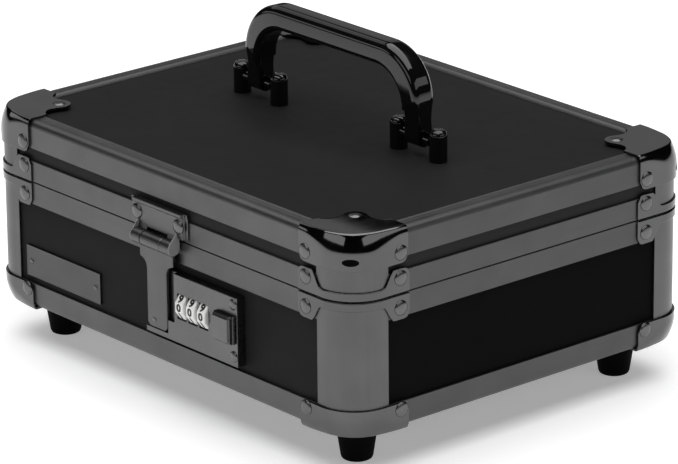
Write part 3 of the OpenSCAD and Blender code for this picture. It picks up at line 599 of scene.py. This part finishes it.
def bracket_web(corner, place_z):
    """Flat web of the bracket that closes the rim at the corner."""
    thick, width = 1.2, 5.8
    rings = []
    for s in cap_stations(POST_WING):
        section = [(0.0, 0.0), (-width, 0.0), (-width, thick), (0.0, thick)]
        rings.append([in_corner(corner, *wrap(s, out), place_z(z)) for out, z in section])
    return loft(rings)


def make_brackets():
    for node, body, place_z in (("lid_rim_brackets", "lid", lambda z: LID_RIM + z),
                                ("base_rim_brackets", "base", lambda z: BASE_RIM - z)):
        solids = [make(c, place_z) for c in CORNERS for make in (bracket_solid, bracket_web)]
        piece(f"{node}_pressed", solids, bracket_metal, body, [node], 0.18)


# ---- rivets ----

RIVET_D = 7.3
TIP_R = 0.06


def rivet(place, d, h, proud):
    """Domed head with a small rim, on a sheet that stands proud of the case."""
    rim, shoulder, sunk, steps, sides = 0.22, 0.3, 0.4, 7, 28
    profile = [(d / 2, proud - sunk), (d / 2, proud + rim)]
    for k in range(1, steps + 1):
        t = pi / 2 * k / steps
        profile.append((max(TIP_R, (d / 2 - shoulder) * cos(t)), proud + rim + (h - rim) * sin(t)))
    return turned(profile, place, sides)


def side_rivets(z, proud):
    """Two rivets near the ends of each side."""
    inset, head_h = 29.3, 1.1
    solids = []
    for side in range(4):
        reach = (HALF_X, HALF_Y)[side % 2] - inset
        solids += [rivet(outwards(side, s * reach, z), RIVET_D, head_h, proud) for s in (-1, 1)]
    return solids


def top_rivet(corner):
    """Rivet through the tongue of a top cap."""
    head_h, sunk = 1.3, 0.5

    def place(a, b, h):
        return in_corner(corner, TOP_RIVET_INSET + a, TOP_RIVET_INSET + b, h)
    return rivet(place, RIVET_D - 0.2, head_h, TOP + CAP_T - sunk)


def leaf_rivets(z):
    """Three rivets through each back hinge's leaf."""
    leaf_w, leaf_t, pitch, head_d, head_h = 42, 1.4, 14, 4.4, 0.8
    centre = mm_box("hinge_base_leaves")[1].x - leaf_w / 2
    return [rivet(outwards(BACK, s * centre + k * pitch, z), head_d, head_h, leaf_t)
            for s in (-1, 1) for k in (-1, 0, 1)]


def make_rivets():
    split = (LID_RIM + BASE_RIM) / 2
    leaf_offset = 7.2
    top_cap_z, lid_bracket_z = TOP - 10.8, LID_RIM + 7.4
    base_bracket_z, bottom_cap_z = BASE_RIM - 6.4, BOTTOM + 9.2
    lid = side_rivets(top_cap_z, CAP_T) + side_rivets(lid_bracket_z, BRACKET_T)
    lid += leaf_rivets(split + leaf_offset) + [top_rivet(c) for c in CORNERS]
    base = side_rivets(bottom_cap_z, CAP_T) + side_rivets(base_bracket_z, BRACKET_T)
    base += leaf_rivets(split - leaf_offset)
    piece("lid_rivets_domed", lid, rivet_metal, "lid", ["lid_rivets"], 0)
    piece("base_rivets_domed", base, rivet_metal, "base", ["base_rivets"], 0)


# ---- handle ----

def handle_section(outer, inner, half_depth, outer_round, inner_round, y):
    """Rounded section between an outer and an inner point of the handle's side view.

    Its flat sides lean together towards the outer point.
    """
    steps, lean = 5, 0.16 * outer_round
    o, i = Vector(outer), Vector(inner)
    across = (o - i).normalized()
    turns = [pi / 2 * k / steps for k in range(steps + 1)]
    points = [(o - across * outer_round * (1 - cos(a)), half_depth - lean - outer_round * (1 - sin(a)))
              for a in turns]
    points += [(i + across * inner_round * (1 - sin(a)), half_depth - inner_round * (1 - cos(a)))
               for a in turns]
    ring = [(p.x, y + d, p.y) for p, d in points]
    return ring + [(x, 2 * y - yy, z) for x, yy, z in reversed(ring)]


def handle_leg(leg_x, pivot, foot_r, foot_half):
    """Sections of one leg, from its round foot about the pivot up to the bend.

    Each station is its height above the pivot, half thickness, half depth and rounding.
    """
    start_angle, foot_steps, foot_round = -82, 6, 0.3
    stations = []
    for k in range(foot_steps + 1):
        angle = radians(blend(start_angle, 0, k / foot_steps))
        stations.append((foot_r * sin(angle), foot_half, foot_r * cos(angle), foot_round))
    stations += [(4, foot_half, foot_r + 0.15, 0.9), (8, 4.7, foot_r + 0.6, 1.8),
                 (12.5, 4.8, foot_r + 1.4, 2.6)]
    return [((leg_x + half, pivot + up), (leg_x - half, pivot + up), half_depth, edge, edge)
            for up, half, half_depth, edge in stations]


def handle_bend(leg_x, top, half_depth):
    """Sections of the bend from one leg into the bar."""
    leg_half, bar_t, outer_r, inner_r, steps = 5.0, 11.6, 25.0, 18.0, 16
    leg_edges, bar_edges = (3.2, 2.4), (4.2, 3.0)
    sections = []
    for k in range(steps + 1):
        share = k / steps
        side, up = cos(pi / 2 * share), sin(pi / 2 * share)
        outer = (leg_x + leg_half - outer_r + outer_r * side, top - outer_r + outer_r * up)
        inner = (leg_x - leg_half - inner_r + inner_r * side, top - bar_t - inner_r + inner_r * up)
        edges = [blend(a, b, share) for a, b in zip(leg_edges, bar_edges)]
        sections.append((outer, inner, half_depth, *edges))
    return sections


def post_profile(r, height):
    """(radius, height) points of a handle post with a domed top."""
    foot_edge, dome_w, dome_h, steps = 0.3, 2.4, 3.0, 6
    profile = [(r - foot_edge, 0), (r, foot_edge), (r, height - dome_h)]
    for k in range(1, steps + 1):
        t = pi / 2 * k / steps
        profile.append((r - dome_w + dome_w * cos(t), height - dome_h + dome_h * sin(t)))
    return profile + [(TIP_R, height)]


def make_handle():
    low, high = mm_box("handle_grip")
    pins_low, pins_high = mm_box("handle_pins")
    pivot = (pins_low.z + pins_high.z) / 2
    y = (low.y + high.y) / 2
    foot_t, foot_half = 10.4, 4.8
    leg_x = high.x - foot_t / 2
    half = handle_leg(leg_x, pivot, pivot - low.z, foot_half)
    half += handle_bend(leg_x, high.z, high.y - y)
    rings = [handle_section(*section, y) for section in half]
    rings += [[(-x, yy, z) for x, yy, z in ring] for ring in reversed(rings)]
    piece("handle_grip_cast", [loft(rings)], gloss_black, "handle", ["handle_grip"], 0)

    post_low, post_high = mm_box("handle_posts")
    post_r = 4.3
    profile = post_profile(post_r, post_high.z - post_low.z)
    spread = post_high.x - post_r - leg_x
    posts = [turned(profile, upwards(s * leg_x + t * spread, y, PANEL)) for s in (-1, 1) for t in (-1, 1)]
    piece("handle_posts_turned", posts, gloss_black, "lid", ["handle_posts"], 0)
    keep_node("handle_pins", dark_chrome, 0.3)
    keep_node("handle_screws", rivet_metal, 0.2)


# ---- hasp ----

HASP_AXIS_Z = mm_box("hasp_pin")[0].z + 1.5
HASP_AXIS_OUT = 4.2
KNUCKLE_R = 3.6
HINGE_PLATE_T = 2.2


def knuckle(bore, start, end):
    """Barrel about the hasp's axis."""
    barrel = [(bore, start), (KNUCKLE_R, start), (KNUCKLE_R, end), (bore, end)]
    return turned(barrel, along_x(-(HALF_Y + HASP_AXIS_OUT), HASP_AXIS_Z), 40, closed=True)


def hinge_plate_solids():
    """Plate with a thicker bead along its top and slanted ends, two knuckles and their webs."""
    high = mm_box("hasp_hinge_plate")[1]
    foot_z = mm_box("lid_rim_rail_front")[0].z + 1.6
    bead_t, end_w, step_w, end_share = 3.1, 2.2, 0.4, 0.4

    def plate_ring(x, share):
        plate, bead = HINGE_PLATE_T * share, bead_t * share
        section = [(0, foot_z), (plate, foot_z), (plate, high.z - 2.2), (bead, high.z - 1.4),
                   (bead, high.z), (0, high.z)]
        return [pushed_along(out, z, x) for out, z in section]

    levels = [(high.x, end_share), (high.x - end_w, end_share), (high.x - end_w - step_w, 1)]
    rings = [plate_ring(-x, share) for x, share in levels]
    rings += [plate_ring(x, share) for x, share in reversed(levels)]
    solids = [loft(rings)]
    bore, width = 1.5, 6.5
    web = [(0.7, HASP_AXIS_Z + 1.8), (3.4, HASP_AXIS_Z + 1.8), (2.1, foot_z + 1.5), (0.2, foot_z + 1.5)]
    for start in (-14.0, 7.5):
        solids += [knuckle(bore, start, start + width), prism(web, start, start + width, pushed_along)]
    return solids


def hasp_arm_solids(low, high, back, front):
    """Sheet that narrows from its shoulders to a leg, with a knuckle on top."""
    leg, shoulder_h, toe_cut, bore = 7.2, 6.0, 1.6, 1.55
    shoulder_top = HASP_AXIS_Z - 4.2
    shoulder_foot, neck_r = shoulder_top - shoulder_h, high.x - leg
    right = [(high.x, shoulder_top), (high.x, shoulder_foot),
             *arc(high.x, shoulder_foot - neck_r, neck_r, 90, 180, 7),
             (leg, low.z + toe_cut), (leg - toe_cut, low.z)]
    outline = right + [(-x, z) for x, z in reversed(right)]
    neck_low, neck_high, inside = shoulder_top - 1.5, HASP_AXIS_Z - 1.7, 0.1
    neck = [(-leg, neck_low), (leg, neck_low), (leg, neck_high), (-leg, neck_high)]
    return [prism(outline, back, front, pushed_out), knuckle(bore, -leg, leg),
            prism(neck, back + inside, front - inside, pushed_out)]


def make_hasp():
    piece("hasp_hinge_plate_folded", hinge_plate_solids(), hinge_metal, "lid",
          ["hasp_hinge_plate"], 0.3)
    drop_r, drop_top, end_t = 3.5, HASP_AXIS_Z + 7.4, 0.5
    drop = arc(HASP_AXIS_OUT, HASP_AXIS_Z, drop_r, -190, 30, 16) + [(2.6, drop_top), (1.2, drop_top)]
    ends = [prism(drop, x, x + end_t, pushed_along) for x in (-14.4, 13.9)]
    # The knuckles' end faces are lighter than the rest of the hinge: painted light.
    piece("lit_hasp_knuckle_ends", ends, lit_satin_metal, "lid", bevel=0.15)

    low, high = mm_box("hasp_arm")
    sheet = 2.0
    front = -mm_box("hasp_catch")[0].y - HALF_Y + sheet
    piece("hasp_arm_pressed", hasp_arm_solids(low, high, front - sheet, front), hinge_metal, "hasp",
          ["hasp_arm"], 0.6, 3)
    catch_x, catch_z, catch_d, catch_h = -2.2, low.z + 3.6, 2.6, 0.35
    piece("hasp_catch_rivet", [rivet(outwards(FRONT, catch_x, catch_z), catch_d, catch_h, front)],
          rivet_metal, "hasp", bevel=0)
    rivet_x, rivet_z, head_h = 15.2, HASP_AXIS_Z + 10.6, 1.3
    piece("hasp_rivets_domed", [rivet(outwards(FRONT, x, rivet_z), RIVET_D, head_h, HINGE_PLATE_T)
                                for x in (-rivet_x, rivet_x)],
          rivet_metal, "lid", ["hasp_rivets"], 0)
    keep_node("hasp_catch", lock_metal, 0.2)
    keep_node("hasp_pin", rivet_metal, 0.2)


# ---- lock ----

def slider_solids(plate_front):
    """Button with bevelled edges and a ribbed right end, on a stem."""
    low, high = mm_box("lock_slider")
    back, front = -high.y - HALF_Y, -low.y - HALF_Y
    clearance, bevel, stem_w, stem_h, overlap = 0.3, 1.2, 4, 6, 0.1
    edge, groove, ridge = 0.3, 0.7, 0.82
    base = plate_front + clearance
    levels = [(low.x, edge), (low.x + 1.8, 1.0), (high.x - 1.9, 1.0), (high.x - 1.6, groove),
              (high.x - 1.3, groove), (high.x - 1.1, ridge), (high.x - 0.7, ridge), (high.x - 0.5, edge),
              (high.x, edge)]
    rings = []
    for x, share in levels:
        out, cut = blend(base, front, share), bevel * share
        ring = [(base, low.z), (out - cut, low.z), (out, low.z + cut), (out, high.z - cut),
                (out - cut, high.z), (base, high.z)]
        rings.append([pushed_along(o, z, x) for o, z in ring])
    stem = mm_box("lock_bolt")[1]
    stem_box = [(stem.x - stem_w, stem.z - stem_h), (stem.x, stem.z - stem_h), (stem.x, stem.z),
                (stem.x - stem_w, stem.z)]
    return [loft(rings), prism(stem_box, back, base + overlap, pushed_out)]


def make_lock():
    keep_node("lock_plate", lock_metal, 0.8)
    keep_node("lock_case", lock_metal, 0.2)
    keep_node("lock_bolt", lock_metal, 0.2)
    keep_node("dial_axle", rivet_metal, 0.2)
    plate_front = -mm_box("lock_plate")[0].y - HALF_Y
    piece("lock_slider_ribbed", slider_solids(plate_front), lock_metal, "slider",
          ["lock_slider"], 0.25)
    low, high = mm_box("lock_rivets")
    d, head_h = high.x - low.x, 0.9
    piece("lock_rivets_domed", [rivet(outwards(FRONT, low.x + d / 2, z), d, head_h, plate_front)
                                for z in (low.z + d / 2, high.z - d / 2)],
          rivet_metal, "base", ["lock_rivets"], 0)


def digit_mesh(text, size):
    """One figure as a thin plate about its middle: its points and faces."""
    relief, boldness = 0.06, 0.24
    curve = bpy.data.curves.new("figure", "FONT")
    curve.body, curve.size = text, size
    curve.align_x, curve.align_y = "CENTER", "CENTER"
    curve.extrude, curve.offset, curve.resolution_u = relief, boldness, 3
    obj = bpy.data.objects.new("figure", curve)
    mesh = bpy.data.meshes.new_from_object(obj)
    points = [tuple(v.co) for v in mesh.vertices]
    faces = [tuple(p.vertices) for p in mesh.polygons]
    bpy.data.objects.remove(obj)
    bpy.data.curves.remove(curve)
    bpy.data.meshes.remove(mesh)
    return points, faces


def make_dials():
    """Wheels with ten flat faces and a figure on each."""
    faces, figure_size, widening = 10, 5.0, 1.2
    bore, edge = 2.05, 0.5
    figures = [digit_mesh(str(k), figure_size) for k in range(faces)]
    for number in (1, 2, 3):
        node = f"dial_{number}"
        low, high = mm_box(node)
        x, y, z = [(a + b) / 2 for a, b in zip(low, high)]
        half_w, radius = (high.x - low.x) / 2, (high.y - low.y) / 2
        drum = [(bore, -half_w), (radius - edge, -half_w), (radius, -half_w + edge),
                (radius, half_w - edge), (radius - edge, half_w), (bore, half_w)]
        solid = turned([(r, x + h) for r, h in drum], along_x(y, z), faces, closed=True, turn=pi / faces)
        piece(f"{node}_wheel", [solid], dial_white, node, [node], 0.25)
        flat = radius * cos(pi / faces)
        inked = []
        for k, (points, polygons) in enumerate(figures):
            t = -2 * pi * k / faces
            verts = []
            for px, py, pz in points:
                out = flat + pz
                verts.append((x + widening * px, y - out * cos(t) + py * sin(t),
                              z + out * sin(t) + py * cos(t)))
            inked.append((verts, polygons))
        piece(f"{node}_figures", inked, ink, node, bevel=0)


# ---- nameplate ----

def make_nameplate():
    """Plain plate with a raised border and two pins."""
    low, high = mm_box("nameplate")
    back, face = -high.y - HALF_Y, -low.y - HALF_Y
    border, border_slope, step = 0.5, 0.25, 0.12
    rings = []
    for inset, out in ((0, back), (0, face), (border, face), (border + border_slope, face - step)):
        left, right, bottom, top = low.x + inset, high.x - inset, low.z + inset, high.z - inset
        outline = [(left, bottom), (right, bottom), (right, top), (left, top)]
        rings.append([pushed_out(x, z, out) for x, z in outline])
    piece("nameplate_stamped", [loft(rings)], plate_metal, "base", ["nameplate"], 0.12)
    low, high = mm_box("nameplate_pins")
    z, d, head_h = (low.z + high.z) / 2, high.z - low.z, 0.5
    piece("nameplate_pins_domed", [rivet(outwards(FRONT, x, z), d + 0.4, head_h, face - step)
                                   for x in (low.x + d / 2, high.x - d / 2)],
          rivet_metal, "base", ["nameplate_pins"], 0)


# ---- the rest ----

def make_rest():
    for node in ("base_bottom_panel", "base_front_panel", "base_back_panel", "lid_top_panel"):
        keep_node(node, laminate, 0)
    # The lid's side panels take the lighter copy of the laminate: painted light.
    keep_node("lid_side_panels", lit_lid_laminate, 0)
    # The base's left and right panels take the darker copy of the laminate: painted shade.
    for node in ("base_left_panel", "base_right_panel"):
        keep_node(node, shaded_side_laminate, 0)
    keep_node("rubber_feet", rubber, 0.4)
    keep_node("foot_screws", rivet_metal, 0.3)
    keep_node("base_lining", felt, 0.2)
    keep_node("lid_lining", felt, 0.2)
    keep_node("tray_ledges", felt, 0.4)
    keep_node("money_tray", tray_plastic, 0.5)
    for node in ("hinge_base_leaves", "hinge_lid_leaves"):
        keep_node(node, lock_metal, 0.25)
    keep_node("hinge_pins", rivet_metal, 0.2)


make_camera()
make_studio()
make_rails()
make_caps()
make_brackets()
make_rivets()
make_handle()
make_hasp()
make_lock()
make_dials()
make_nameplate()
make_rest()
